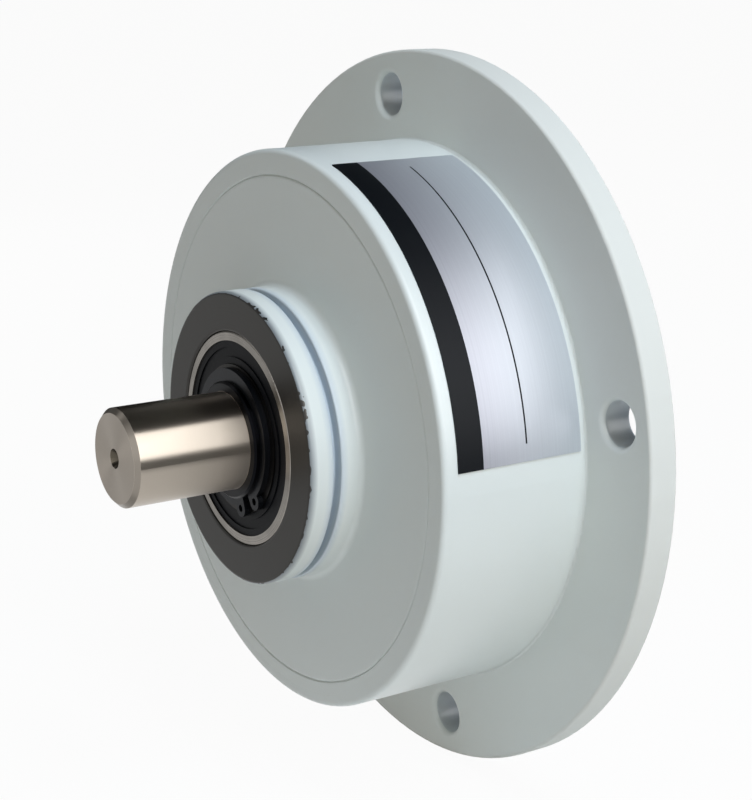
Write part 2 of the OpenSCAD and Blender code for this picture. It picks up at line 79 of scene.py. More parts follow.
# Shaft: chamfer and mouth of the centre drilling at its end, and room for the mesh at their edges
SHAFT_CHAMFER = 1.2
CENTRE_DRILL_R = 2.5
EDGE_ROOM = 0.02

# Flange: turn of the first bolt hole from +X towards +Z
BOLT_TURN = 10.0

# Nameplate: black band along its front edge, and a thin rule between two turns
BAND_W = 7.0
RULE_H = 25.7
RULE_W = 0.45
RULE_FROM = 8.0
RULE_TO = 72.0


def reach(node, above=-1.0):
    """Least and greatest distance from the shaft axis, and least and greatest height ahead of the
    mounting face, of a CAD node's points that lie higher than above; all in millimetres."""
    mesh = nodes[node].data
    points = np.empty(3 * len(mesh.vertices), np.float32)
    mesh.vertices.foreach_get("co", points)
    x, y, z = points.reshape(-1, 3).T / MM
    radius = np.hypot(x, z)[-y > above]
    height = -y[-y > above]
    return radius.min(), radius.max(), height.min(), height.max()


body_r, body_foot_h, body_front_h = reach("body_ring")[1:]
cover_hole_r, cover_r, cover_back_h, boss_front_h = reach("front_cover")
boss_r = reach("front_cover", above=body_front_h + 2 * BOSS_FILLET)[1]
ring_r, ring_back_h = reach("front_outer_ring")[1:3]
powder_seal_r = reach("front_powder_seal")[1]
powder_seal_h = reach("front_powder_seal")[3]
plate_back_h, plate_front_h = reach("nameplate")[2:]
flange_r = reach("mounting_flange")[1]
shaft_end_h = reach("shaft")[3]
output_r = mounts["output_shaft"]["dims"]["r_mm"]
bolt_circle_r = mounts["mounting_bolts"]["dims"]["pcd_mm"] / 2
bolt_hole_r = mounts["mounting_bolts"]["dims"]["hole_r_mm"]
groove_front_h = boss_front_h - GROOVE_LAND
groove_back_h = groove_front_h - GROOVE_W
groove_r = boss_r - GROOVE_DEPTH
bearing_seat_r = ring_r + FIT


# Colours and shader nodes


def linear(code):
    """Linear RGBA of an sRGB hex colour."""
    srgb = np.array([int(code[i:i + 2], 16) for i in (1, 3, 5)]) / 255
    rgb = np.where(srgb <= 0.04045, srgb / 12.92, ((srgb + 0.055) / 1.055) ** 2.4)
    return (*rgb.tolist(), 1.0)


def add(tree, kind, links=None, **settings):
    """One shader node: settings are its properties, and links give its inputs a value or another
    node's socket."""
    made = tree.nodes.new(kind)
    for name, value in settings.items():
        setattr(made, name, value)
    for name, value in (links or {}).items():
        if isinstance(value, bpy.types.NodeSocket):
            tree.links.new(value, made.inputs[name])
        else:
            made.inputs[name].default_value = value
    return made


def blank_material(name):
    """A material with no shader nodes yet, and its node tree."""
    material = bpy.data.materials.new(name)
    material.use_nodes = True
    material.node_tree.nodes.clear()
    return material, material.node_tree


def new_finish(name, **sockets):
    """A material with one Principled shader, whose sockets (with _ for a space) hold constants."""
    material, tree = blank_material(name)
    constants = {key.replace("_", " "): value for key, value in sockets.items()}
    shader = add(tree, "ShaderNodeBsdfPrincipled", constants)
    add(tree, "ShaderNodeOutputMaterial", {"Surface": shader.outputs["BSDF"]})
    place = add(tree, "ShaderNodeTexCoord").outputs["Object"]
    return material, tree, shader, place


def shaft_coordinates(tree, place):
    """Distance from the shaft axis and height ahead of the mounting face, in millimetres, as sockets."""
    in_mm = add(tree, "ShaderNodeVectorMath", {0: place, "Scale": 1 / MM},
                operation="SCALE").outputs["Vector"]
    across = add(tree, "ShaderNodeVectorMath", {0: in_mm, 1: (1.0, 0.0, 1.0)},
                 operation="MULTIPLY").outputs["Vector"]
    radius = add(tree, "ShaderNodeVectorMath", {0: across}, operation="LENGTH").outputs["Value"]
    along = add(tree, "ShaderNodeSeparateXYZ", {0: in_mm}).outputs["Y"]
    height = add(tree, "ShaderNodeMath", {0: along, 1: -1.0}, operation="MULTIPLY").outputs["Value"]
    return radius, height


# Finishes

# Paint's edge on the boss: how far it stops below the end face, in the odd chip, and in the knocks
PAINT_STOP = 0.08
CHIP_DEPTH = 0.45
KNOCK_DEPTH = 1.4
# Width of a chip, the noise at which chips begin and are full, and how far round the bearing all is bare
CHIP_W = 2.2
CHIP_NOISE = (0.56, 0.74)
BARE_ROUND = 0.5
# Turn of the knocks from +X towards +Z, and shares of the boss's radius where they begin and are full
KNOCK_TURN = 50.0
KNOCK_SPAN = (0.75, 0.95)


def boss_end_face(tree, place):
    """Mask of the boss's end face, which was turned after painting: all that lies close round the
    bearing or higher than the paint's edge. That edge lies just below the face, lower in the odd
    chip, and lowest in the knocks at the upper right."""
    radius, height = shaft_coordinates(tree, place)
    chips = add(tree, "ShaderNodeTexNoise",
                {"Vector": place, "Scale": 1 / (CHIP_W * MM), "Detail": 1.0}).outputs["Fac"]
    turn = math.radians(KNOCK_TURN)
    knocked = (math.cos(turn) / MM, 0.0, math.sin(turn) / MM)
    towards = add(tree, "ShaderNodeVectorMath", {0: place, 1: knocked},
                  operation="DOT_PRODUCT").outputs["Value"]
    depth = add(tree, "ShaderNodeMapRange",
                {"Value": towards,
                 "From Min": KNOCK_SPAN[0] * boss_r, "From Max": KNOCK_SPAN[1] * boss_r,
                 "To Min": boss_front_h - CHIP_DEPTH, "To Max": boss_front_h - KNOCK_DEPTH})
    edge = add(tree, "ShaderNodeMapRange",
               {"Value": chips, "From Min": CHIP_NOISE[0], "From Max": CHIP_NOISE[1],
                "To Min": boss_front_h - PAINT_STOP, "To Max": depth.outputs["Result"]})
    above = add(tree, "ShaderNodeMath", {0: height, 1: edge.outputs["Result"]},
                operation="GREATER_THAN").outputs["Value"]
    inside = add(tree, "ShaderNodeMath", {0: radius, 1: ring_r + BARE_ROUND},
                 operation="LESS_THAN").outputs["Value"]
    return add(tree, "ShaderNodeMath", {0: above, 1: inside}, operation="MAXIMUM").outputs["Value"]


# Snap groove: depths where its painted shade begins and is full, and width and share of that shade beside
# it
GROOVE_SHADE_FROM = 0.6
GROOVE_SHADE_FULL = 1.6
BESIDE_W = 2.0
BESIDE_SHARE = 0.8


def groove_shade(tree, place):
    """Mask of the shade painted into the snap groove, from 0 a little below the boss's side to 1 deeper
    down, and of the side beside it, from a share at the groove's edges to 0 a little away from them."""
    radius, height = shaft_coordinates(tree, place)
    within = add(tree, "ShaderNodeMapRange",
                 {"Value": radius, "From Min": boss_r - GROOVE_SHADE_FROM, "From Max": boss_r - GROOVE_SHADE_FULL})
    middle = groove_front_h - GROOVE_W / 2
    offset = add(tree, "ShaderNodeMath", {0: height, 1: middle}, operation="SUBTRACT").outputs["Value"]
    distance = add(tree, "ShaderNodeMath", {0: offset}, operation="ABSOLUTE").outputs["Value"]
    beside = add(tree, "ShaderNodeMapRange",
                 {"Value": distance, "From Min": GROOVE_W / 2, "From Max": GROOVE_W / 2 + BESIDE_W,
                  "To Min": BESIDE_SHARE, "To Max": 0.0})
    return add(tree, "ShaderNodeMath", {0: within.outputs["Result"], 1: beside.outputs["Result"]},
               operation="MAXIMUM").outputs["Value"]


# Bolt holes: share of the painted shade at their mouths, and how far outside the wall it still counts
MOUTH_SHARE = 0.3
WALL_ROOM = 0.1


def bolt_hole_shade(tree, place):
    """Mask of the shade painted on the walls of the four bolt holes, from a share at their mouths to 1
    at the mounting face. The flange is turned back until one hole lies on the X axis, and folded on
    its axes and diagonals until all four lie there."""
    turned = add(tree, "ShaderNodeVectorRotate", {"Vector": place, "Angle": math.radians(BOLT_TURN)},
                 rotation_type="Y_AXIS").outputs["Vector"]
    folded = add(tree, "ShaderNodeVectorMath", {0: turned}, operation="ABSOLUTE").outputs["Vector"]
    across = add(tree, "ShaderNodeSeparateXYZ", {0: folded})
    sides = {0: across.outputs["X"], 1: across.outputs["Z"]}
    far = add(tree, "ShaderNodeMath", sides, operation="MAXIMUM").outputs["Value"]
    near = add(tree, "ShaderNodeMath", sides, operation="MINIMUM").outputs["Value"]
    out = add(tree, "ShaderNodeMath", {0: far, 1: bolt_circle_r * MM},
              operation="SUBTRACT").outputs["Value"]
    from_hole = add(tree, "ShaderNodeCombineXYZ", {"X": out, "Y": near}).outputs["Vector"]
    distance = add(tree, "ShaderNodeVectorMath", {0: from_hole}, operation="LENGTH").outputs["Value"]
    wall = add(tree, "ShaderNodeMath", {0: distance, 1: (bolt_hole_r + WALL_ROOM) * MM},
               operation="LESS_THAN").outputs["Value"]
    height = shaft_coordinates(tree, place)[1]
    deep = add(tree, "ShaderNodeMapRange",
               {"Value": height, "From Min": body_foot_h, "From Max": 0.0, "To Min": MOUTH_SHARE})
    return add(tree, "ShaderNodeMath", {0: wall, 1: deep.outputs["Result"]},
               operation="MULTIPLY").outputs["Value"]


# Paint: widths of its orange peel and of its clouds, and height and strength of the peel's bump
PEEL_W = 2.5
CLOUD_W = 40
BUMP_H = 0.1
PEEL_BUMP = 0.05
# Roughness of the semi-gloss coat over its peel, of the dry coat, and of the turned steel over its lines
COAT_ROUGH = (0.3, 0.36)
DRY_ROUGH = 0.75
TURNED_ROUGH = (0.3, 0.46)
# Flange's rim: distances inside the greatest radius where the dry coat and its painted shade begin and are
# full
RIM_FROM = 1.0
RIM_FULL = 0.3
# Boss: distances below the end face where the worn coat begins and is full
WORN_FROM = 2.1
WORN_FULL = 0.1
# Turning lines of a 0.12 mm feed, drawn wider so that they show
TURNING_LINE_W = 0.4


def enamel(name, shade_mask, shade_code, bare_steel=None):
    """White enamel sprayed on turned steel: off-white with a trace of green, semi-gloss, with faint
    orange peel. Where the first mask is set, the coat is painted the greyer colour given after it:
    painted shade in the snap groove and the bolt holes. Where the mask bare_steel is set there is no
    paint, and dark steel shows fine concentric turning lines."""
    material, tree, shader, place = new_finish(name, IOR=1.5)
    peel = add(tree, "ShaderNodeTexNoise",
               {"Vector": place, "Scale": 1 / (PEEL_W * MM), "Detail": 0.0}).outputs["Fac"]
    bump = add(tree, "ShaderNodeBump",
               {"Height": peel, "Strength": PEEL_BUMP, "Distance": BUMP_H * MM})
    tree.links.new(bump.outputs["Normal"], shader.inputs["Normal"])
    cloud = add(tree, "ShaderNodeTexNoise",
                {"Vector": place, "Scale": 1 / (CLOUD_W * MM), "Detail": 3.0}).outputs["Fac"]
    paint = add(tree, "ShaderNodeMix",
                {"Factor": cloud, "A": linear("#E4E8E4"), "B": linear("#DFE4E0")},
                data_type="RGBA").outputs["Result"]
    # Painted shade: the coat goes to the greyer colour where the shade mask is set
    paint = add(tree, "ShaderNodeMix",
                {"Factor": shade_mask(tree, place), "A": paint, "B": linear(shade_code)},
                data_type="RGBA").outputs["Result"]
    rough = add(tree, "ShaderNodeMapRange",
                {"Value": peel, "To Min": COAT_ROUGH[0], "To Max": COAT_ROUGH[1]}).outputs["Result"]
    radius, height = shaft_coordinates(tree, place)
    if bare_steel:
        # The coat is worn thin and grey just before the bare face
        worn = add(tree, "ShaderNodeMapRange",
                   {"Value": height, "From Min": boss_front_h - WORN_FROM,
                    "From Max": boss_front_h - WORN_FULL}).outputs["Result"]
        paint = add(tree, "ShaderNodeMix", {"Factor": worn, "A": paint, "B": linear("#80868A")},
                    data_type="RGBA").outputs["Result"]
        lines = add(tree, "ShaderNodeTexNoise",
                    {"W": radius, "Scale": 1 / TURNING_LINE_W, "Detail": 2.0},
                    noise_dimensions="1D").outputs["Fac"]
        steel = add(tree, "ShaderNodeMix",
                    {"Factor": lines, "A": linear("#403F3D"), "B": linear("#4F4E4C")},
                    data_type="RGBA").outputs["Result"]
        bare = bare_steel(tree, place)
        tree.links.new(bare, shader.inputs["Metallic"])
        paint = add(tree, "ShaderNodeMix", {"Factor": bare, "A": paint, "B": steel},
                    data_type="RGBA").outputs["Result"]
        cut = add(tree, "ShaderNodeMapRange",
                  {"Value": lines, "To Min": TURNED_ROUGH[0],
                   "To Max": TURNED_ROUGH[1]}).outputs["Result"]
        rough = add(tree, "ShaderNodeMix", {"Factor": bare, "A": rough, "B": cut}).outputs["Result"]
    else:
        # On the flange's rim the spray fell dry, so the coat is matt there; the rim is also painted a
        # little greyer, a painted shade that dims it
        rim = add(tree, "ShaderNodeMapRange",
                  {"Value": radius, "From Min": flange_r - RIM_FROM,
                   "From Max": flange_r - RIM_FULL}).outputs["Result"]
        rough = add(tree, "ShaderNodeMix",
                    {"Factor": rim, "A": rough, "B": DRY_ROUGH}).outputs["Result"]
        paint = add(tree, "ShaderNodeMix", {"Factor": rim, "A": paint, "B": linear("#DCDDD7")},
                    data_type="RGBA").outputs["Result"]
    tree.links.new(paint, shader.inputs["Base Color"])
    tree.links.new(rough, shader.inputs["Roughness"])
    return material


# Grinding rings of about 0.05 mm, drawn wider so that they show, with the clouds and roughness of the steel
GRINDING_RING_W = 0.35
STEEL_CLOUD_W = 9
GROUND_ROUGH = (0.28, 0.32)
# The dark skin begins where the shaft's radius is this much larger than at its output end
SKIN_STEP = 0.04


def ground_shaft_steel(name):
    """Cylindrically ground steel: warm grey and bright, with fine rings round the axis that draw
    reflections out into long bands. The journal behind the output end keeps its dark heat-treated
    skin. The end's chamfer is painted darker, a painted shade over the reflections it catches, and
    the centre drilling is painted dark, a painted shade in its hollow."""
    material, tree, shader, place = new_finish(name, Metallic=1.0, Anisotropic=0.9,
                                               Anisotropic_Rotation=0.25)
    radius, height = shaft_coordinates(tree, place)
    rings = add(tree, "ShaderNodeTexNoise",
                {"W": height, "Scale": 1 / GRINDING_RING_W, "Detail": 3.0},
                noise_dimensions="1D").outputs["Fac"]
    cloud = add(tree, "ShaderNodeTexNoise",
                {"Vector": place, "Scale": 1 / (STEEL_CLOUD_W * MM), "Detail": 3.0}).outputs["Fac"]
    bright = add(tree, "ShaderNodeMix",
                 {"Factor": cloud, "A": linear("#B8AFA4"), "B": linear("#AFA69A")},
                 data_type="RGBA").outputs["Result"]
    colour = add(tree, "ShaderNodeMix", {"Factor": rings, "A": bright, "B": linear("#B6ADA2")},
                 data_type="RGBA").outputs["Result"]
    skin = add(tree, "ShaderNodeMath", {0: radius, 1: output_r + SKIN_STEP},
               operation="GREATER_THAN").outputs["Value"]
    near_end = add(tree, "ShaderNodeMath", {0: height, 1: shaft_end_h - SHAFT_CHAMFER + EDGE_ROOM},
                   operation="GREATER_THAN").outputs["Value"]
    near_side = add(tree, "ShaderNodeMath", {0: radius, 1: output_r - SHAFT_CHAMFER + EDGE_ROOM},
                    operation="GREATER_THAN").outputs["Value"]
    chamfer = add(tree, "ShaderNodeMath", {0: near_end, 1: near_side},
                  operation="MULTIPLY").outputs["Value"]
    drilled = add(tree, "ShaderNodeMath", {0: radius, 1: CENTRE_DRILL_R - EDGE_ROOM},
                  operation="LESS_THAN").outputs["Value"]
    # Dark heat-treated skin on the journal; painted shade on the end's chamfer and in the centre drilling
    for mask, code in ((skin, "#121316"), (chamfer, "#948D84"), (drilled, "#5E584E")):
        colour = add(tree, "ShaderNodeMix", {"Factor": mask, "A": colour, "B": linear(code)},
                     data_type="RGBA").outputs["Result"]
    tree.links.new(colour, shader.inputs["Base Color"])
    rough = add(tree, "ShaderNodeMapRange",
                {"Value": rings, "To Min": GROUND_ROUGH[0], "To Max": GROUND_ROUGH[1]})
    tree.links.new(rough.outputs["Result"], shader.inputs["Roughness"])
    tangent = add(tree, "ShaderNodeTangent", direction_type="RADIAL", axis="Y")
    tree.links.new(tangent.outputs["Tangent"], shader.inputs["Tangent"])
    return material


# Turned metal: width of its clouds, the blend at which it is all dark or all light, and how far its
# lines go under and over the stated roughness
METAL_CLOUD_W = 6
METAL_BLEND = (0.1, 0.45)
LINES_UNDER = 0.06
LINES_OVER = 0.08


def turned_metal(name, dark, light, roughness, line_mm):
    """Lathe-turned or plated metal: two shades in fine lines round the axis and along it, by
    distance and height, that come and go in clouds."""
    material, tree, shader, place = new_finish(name, Metallic=1.0)
    radius, height = shaft_coordinates(tree, place)
    step = add(tree, "ShaderNodeMath", {0: radius, 1: height}, operation="ADD").outputs["Value"]
    lines = add(tree, "ShaderNodeTexNoise", {"W": step, "Scale": 1 / line_mm, "Detail": 2.0},
                noise_dimensions="1D").outputs["Fac"]
    cloud = add(tree, "ShaderNodeTexNoise",
                {"Vector": place, "Scale": 1 / (METAL_CLOUD_W * MM), "Detail": 3.0}).outputs["Fac"]
    blend = add(tree, "ShaderNodeMath", {0: lines, 1: cloud}, operation="MULTIPLY").outputs["Value"]
    spread = add(tree, "ShaderNodeMapRange",
                 {"Value": blend, "From Min": METAL_BLEND[0],
                  "From Max": METAL_BLEND[1]}).outputs["Result"]
    colour = add(tree, "ShaderNodeMix", {"Factor": spread, "A": linear(dark), "B": linear(light)},
                 data_type="RGBA")
    tree.links.new(colour.outputs["Result"], shader.inputs["Base Color"])
    rough = add(tree, "ShaderNodeMapRange",
                {"Value": lines, "To Min": roughness - LINES_UNDER, "To Max": roughness + LINES_OVER})
    tree.links.new(rough.outputs["Result"], shader.inputs["Roughness"])
    return material


# How far the grain goes to either side of the stated roughness
GRAIN_ROUGH = 0.07


def grained(name, dark, light, grain_mm, roughness, bump_strength, **sockets):
    """Moulded, phosphated or loose matter: two shades in a fine even grain, with the same grain as
    a bump."""
    material, tree, shader, place = new_finish(name, **sockets)
    grain = add(tree, "ShaderNodeTexNoise",
                {"Vector": place, "Scale": 1 / (grain_mm * MM), "Detail": 3.0}).outputs["Fac"]
    colour = add(tree, "ShaderNodeMix", {"Factor": grain, "A": linear(dark), "B": linear(light)},
                 data_type="RGBA")
    tree.links.new(colour.outputs["Result"], shader.inputs["Base Color"])
    rough = add(tree, "ShaderNodeMapRange",
                {"Value": grain, "To Min": roughness - GRAIN_ROUGH, "To Max": roughness + GRAIN_ROUGH})
    tree.links.new(rough.outputs["Result"], shader.inputs["Roughness"])
    bump = add(tree, "ShaderNodeBump",
               {"Height": grain, "Strength": bump_strength, "Distance": BUMP_H * MM})
    tree.links.new(bump.outputs["Normal"], shader.inputs["Normal"])
    return material


# Diameter of the coil's wire, and height and strength of the bump of its round backs
WIRE_D = 0.8
WIRE_BUMP_H = 0.2
WIRE_BUMP = 0.8


def wound_copper(name):
    """Coil of enamelled wire: glossy red-brown, in rows of wire whose round backs show as a wave,
    in the bump and in a painted shade between the wires and a painted highlight on their backs.
    """
    material, tree, shader, place = new_finish(name, Coat_Weight=0.4, Coat_Roughness=0.2,
                                               Roughness=0.35)
    height = shaft_coordinates(tree, place)[1]
    phase = add(tree, "ShaderNodeMath", {0: height, 1: 2 * math.pi / WIRE_D},
                operation="MULTIPLY").outputs["Value"]
    wave = add(tree, "ShaderNodeMath", {0: phase}, operation="SINE").outputs["Value"]
    rows = add(tree, "ShaderNodeMapRange", {"Value": wave, "From Min": -1.0}).outputs["Result"]
    # Painted shade between the wires and painted highlight on their round backs, following the wave
    colour = add(tree, "ShaderNodeMix",
                 {"Factor": rows, "A": linear("#6A2F14"), "B": linear("#B4652F")},
                 data_type="RGBA")
    tree.links.new(colour.outputs["Result"], shader.inputs["Base Color"])
    bump = add(tree, "ShaderNodeBump",
               {"Height": rows, "Strength": WIRE_BUMP, "Distance": WIRE_BUMP_H * MM})
    tree.links.new(bump.outputs["Normal"], shader.inputs["Normal"])
    return material


# Rolling grain of the foil, about 0.1 mm, drawn wider so that it shows, with its share of the shade
FOIL_GRAIN_W = 0.5
FOIL_GRAIN_SHARE = 0.2
# Painted light and shade of the foil without its grain, at the rear edge and beside the band, and its
# roughness
FOIL_RUN = (-0.1, 0.9)
FOIL_ROUGH = (0.4, 0.46)
# Share of bare metal that shows through the foil's clear film
FOIL_METAL = 0.58


def printed_foil(name):
    """Satin aluminium foil label with a clear film: silver with a blue cast, painted pale at the rear
    edge and grey beside the band, a painted highlight and shade for the light it reflects, with a
    black printed band along its front edge and a thin printed rule."""
    material, tree, shader, place = new_finish(name, Specular_IOR_Level=0.12)
    height = shaft_coordinates(tree, place)[1]
    across = add(tree, "ShaderNodeSeparateXYZ", {0: place})
    turn = add(tree, "ShaderNodeMath", {0: across.outputs["Z"], 1: across.outputs["X"]},
               operation="ARCTAN2").outputs["Value"]
    band = add(tree, "ShaderNodeMath", {0: height, 1: plate_front_h - BAND_W},
               operation="GREATER_THAN").outputs["Value"]
    on_rule = add(tree, "ShaderNodeMath", {0: height, 1: RULE_H, 2: RULE_W / 2},
                  operation="COMPARE").outputs["Value"]
    middle = math.radians((RULE_FROM + RULE_TO) / 2)
    half = math.radians((RULE_TO - RULE_FROM) / 2)
    in_turn = add(tree, "ShaderNodeMath", {0: turn, 1: middle, 2: half},
                  operation="COMPARE").outputs["Value"]
    rule = add(tree, "ShaderNodeMath", {0: on_rule, 1: in_turn}, operation="MULTIPLY").outputs["Value"]
    ink = add(tree, "ShaderNodeMath", {0: band, 1: rule}, operation="MAXIMUM").outputs["Value"]
    grain = add(tree, "ShaderNodeTexNoise", {"W": height, "Scale": 1 / FOIL_GRAIN_W, "Detail": 3.0},
                noise_dimensions="1D").outputs["Fac"]
    # Painted light and shade: the foil is painted paler towards its rear edge and greyer towards the band
    run = add(tree, "ShaderNodeMapRange",
              {"Value": height, "From Min": plate_back_h, "From Max": plate_front_h - BAND_W,
               "To Min": FOIL_RUN[0], "To Max": FOIL_RUN[1]}).outputs["Result"]
    shade = add(tree, "ShaderNodeMath", {0: grain, 1: FOIL_GRAIN_SHARE, 2: run},
                operation="MULTIPLY_ADD", use_clamp=True).outputs["Value"]
    silver = add(tree, "ShaderNodeMix",
                 {"Factor": shade, "A": linear("#CFD5DB"), "B": linear("#A6A7AF")},
                 data_type="RGBA").outputs["Result"]
    colour = add(tree, "ShaderNodeMix", {"Factor": ink, "A": silver, "B": linear("#0D1014")},
                 data_type="RGBA")
    tree.links.new(colour.outputs["Result"], shader.inputs["Base Color"])
    metal = add(tree, "ShaderNodeMath", {0: FOIL_METAL, 1: ink}, operation="SUBTRACT", use_clamp=True)
    tree.links.new(metal.outputs["Value"], shader.inputs["Metallic"])
    rough = add(tree, "ShaderNodeMapRange",
                {"Value": grain, "To Min": FOIL_ROUGH[0], "To Max": FOIL_ROUGH[1]})
    tree.links.new(rough.outputs["Result"], shader.inputs["Roughness"])
    return material


# The bolt holes' walls get a painted shade, darker towards the mounting face
body_enamel = enamel("white_enamel_on_steel", bolt_hole_shade, "#9CA5AE")
# The snap groove and its edges get a painted shade in a greyer blue
cover_enamel = enamel("white_enamel_with_bare_turned_face", groove_shade, "#C3CDD5", boss_end_face)
shaft_steel = ground_shaft_steel("ground_shaft_steel")
# Hardened and ground bearing rings: fine lines, slightly warm
bearing_steel = turned_metal("ground_bearing_steel", "#8E8A84", "#B5B0A9", roughness=0.3, line_mm=0.25)
# The same steel painted dark on the inner rings, a painted shade where they sit deep between the circlip
# and the seal lips
shaded_bearing_steel = turned_metal("greased_bearing_steel", "#232221", "#383634", roughness=0.34, line_mm=0.25)
# Bright drawn key
key_steel = turned_metal("bright_key_steel", "#8F9295", "#A9ADB0", roughness=0.32, line_mm=0.5)
# Soft magnetic iron, turned with a coarser feed
field_iron = turned_metal("turned_soft_iron", "#6F7376", "#979B9E", roughness=0.42, line_mm=0.6)
# Machined brass
cage_brass = turned_metal("turned_brass", "#9E7F3F", "#C9A75E", roughness=0.34, line_mm=0.4)
# Zinc plate: pale blue-grey, satin
zinc = turned_metal("zinc_plated_steel", "#B2B8BC", "#C2C7CB", roughness=0.36, line_mm=0.5)
# Phosphated and oiled spring steel, nearly black with a soft shine
spring_steel = grained("phosphated_spring_steel", "#121419", "#1E2126",
                       grain_mm=0.35, roughness=0.34, bump_strength=0.12, Metallic=0.7)
# Nitrile rubber, moulded smooth: black with a cool, dull shine
rubber = grained("moulded_nitrile_rubber", "#05070B", "#0A0C11",
                 grain_mm=0.5, roughness=0.46, bump_strength=0.08, IOR=1.45, Specular_IOR_Level=0.15)
# Glass-filled nylon, matt and cream
bobbin_nylon = grained("glass_filled_nylon", "#C9C0A8", "#DAD2BD",
                       grain_mm=0.6, roughness=0.55, bump_strength=0.1, IOR=1.53)
# Fine loose iron powder, dark and dull
powder = grained("loose_iron_powder", "#242426", "#4A4A4D",
                 grain_mm=0.25, roughness=0.8, bump_strength=0.6, Metallic=0.4)
copper = wound_copper("enamelled_copper_wire")
foil = printed_foil("printed_aluminium_foil")

DRESS = {
    body_enamel: ["mounting_flange", "body_ring"],
    cover_enamel: ["front_cover"],
    shaft_steel: ["shaft"],
    bearing_steel: ["front_outer_ring", "front_balls", "rear_outer_ring", "rear_balls",
                    "front_spacer", "rear_spacer"],
    shaded_bearing_steel: ["front_inner_ring", "rear_inner_ring"],
    key_steel: ["rotor_key"],
    field_iron: ["rear_pole", "front_pole", "rotor_drum"],
    cage_brass: ["flux_break_ring", "front_cage", "rear_cage"],
    zinc: ["rear_cover", "rear_cover_screws"],
    spring_steel: ["front_circlip", "rear_circlip", "body_screws"],
    rubber: ["lead_grommet", "front_outside_seal", "front_inside_seal", "rear_outside_seal",
             "rear_inside_seal", "front_powder_seal", "rear_powder_seal"],
    bobbin_nylon: ["coil_bobbin"],
    powder: ["magnetic_powder"],
    copper: ["field_coil"],
    foil: ["nameplate"],
}
for finish, dressed in DRESS.items():
    for node in dressed:
        nodes[node].data.materials.clear()
        nodes[node].data.materials.append(finish)


# Surfaces


def rounded(corners):
    """Closed half profile from corners (radius, height, rounding): each corner becomes an arc that
    touches both of its sides, and each straight side keeps a point FLAT_MARGIN from either end, or
    a quarter of its length."""
    points = np.array([corner[:2] for corner in corners], float)
    size = np.array([corner[2] for corner in corners], float)
    back = np.roll(points, 1, 0) - points
    ahead = np.roll(points, -1, 0) - points
    back /= np.linalg.norm(back, axis=1)[:, None]
    ahead /= np.linalg.norm(ahead, axis=1)[:, None]
    half = np.arccos(np.clip((back * ahead).sum(1), -1, 1)) / 2
    trim = (size / np.tan(half))[:, None]
    start = points + back * trim
    end = points + ahead * trim
    middle = (back + ahead) / np.linalg.norm(back + ahead, axis=1)[:, None]
    centre = points + middle * (size / np.sin(half))[:, None]
    sweep = (math.pi - 2 * half)[:, None, None]
    share = np.linspace(0, 1, ARC_STEPS)[None, :, None]
    from_start = np.sin((1 - share) * sweep) * (start - centre)[:, None]
    from_end = np.sin(share * sweep) * (end - centre)[:, None]
    arc = centre[:, None] + (from_start + from_end) / np.sin(sweep)
    arc[size == 0] = points[size == 0][:, None]
    side = np.roll(start, -1, 0) - end
    length = np.linalg.norm(side, axis=1)[:, None]
    margin = np.minimum(FLAT_MARGIN, length / 4) * side / length
    flats = [(end + margin)[:, None], (end + side - margin)[:, None]]
    profile = np.concatenate([arc, *flats], 1).reshape(-1, 2)
    apart = np.linalg.norm(profile - np.roll(profile, 1, 0), axis=1) > SAME_POINT
    return profile[apart]


def turned_surface(corners):
    """Points and faces of a closed half profile carried once round the shaft axis: a point (r, h)
    at turn t lies at x = r cos t, y = -h, z = r sin t, and quads join neighbours both ways round."""
    profile = rounded(corners)
    turn = np.linspace(0, 2 * math.pi, TURN_STEPS, endpoint=False)[:, None]
    radius, height = profile[:, 0][None], profile[:, 1][None]
    points = np.stack([radius * np.cos(turn), -height + 0 * turn, radius * np.sin(turn)], -1)
    count = len(profile)
    index = np.arange(TURN_STEPS * count).reshape(TURN_STEPS, count)
    beside = np.roll(index, -1, 1)
    faces = np.stack([index, beside, np.roll(beside, -1, 0), np.roll(index, -1, 0)], -1)
    return points.reshape(-1, 3), faces.reshape(-1, 4).tolist()


def mesh_piece(name, points, faces, material, body, replaced, slot):
    """Object from points in millimetres and quad faces, smooth apart from its sharp edges. It stands
    for the CAD node replaced, or lies over the CAD where that is None."""
    mesh = bpy.data.meshes.new(name)
    mesh.from_pydata(points * MM, [], faces)
    outward = bmesh.new()
    outward.from_mesh(mesh)
    bmesh.ops.recalc_face_normals(outward, faces=outward.faces)
    outward.to_mesh(mesh)
    outward.free()
    mesh.shade_smooth()
    mesh.set_sharp_from_angle(angle=math.radians(SHARP_ANGLE))
    mesh.materials.append(material)
    piece = bpy.data.objects.new(name, mesh)
    scene.collection.objects.link(piece)
    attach(piece, body)
    if replaced:
        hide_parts(replaced)


# Front cover with the soft edges of its paint
cover_corners = [
    (cover_r, cover_back_h, HIDDEN_EDGE),
    (cover_r, body_front_h, SEAM_EDGE),
    (boss_r, body_front_h, BOSS_FILLET),
    (boss_r, groove_back_h, PAINTED_EDGE),
    (groove_r, groove_back_h, GROOVE_ROOT),
    (groove_r, groove_front_h, GROOVE_ROOT),
    (boss_r, groove_front_h, PAINTED_EDGE),
    (boss_r, boss_front_h, BOSS_EDGE),
    (bearing_seat_r, boss_front_h, SEAM_EDGE),
    (bearing_seat_r, ring_back_h, HIDDEN_EDGE),
    (cover_hole_r, ring_back_h, HIDDEN_EDGE),
    (cover_hole_r, powder_seal_h, HIDDEN_EDGE),
    (powder_seal_r + FIT, powder_seal_h, HIDDEN_EDGE),
    (powder_seal_r + FIT, cover_back_h, HIDDEN_EDGE),
]
mesh_piece("front_cover_painted", *turned_surface(cover_corners), cover_enamel,
           "housing", "front_cover", "white_paint")

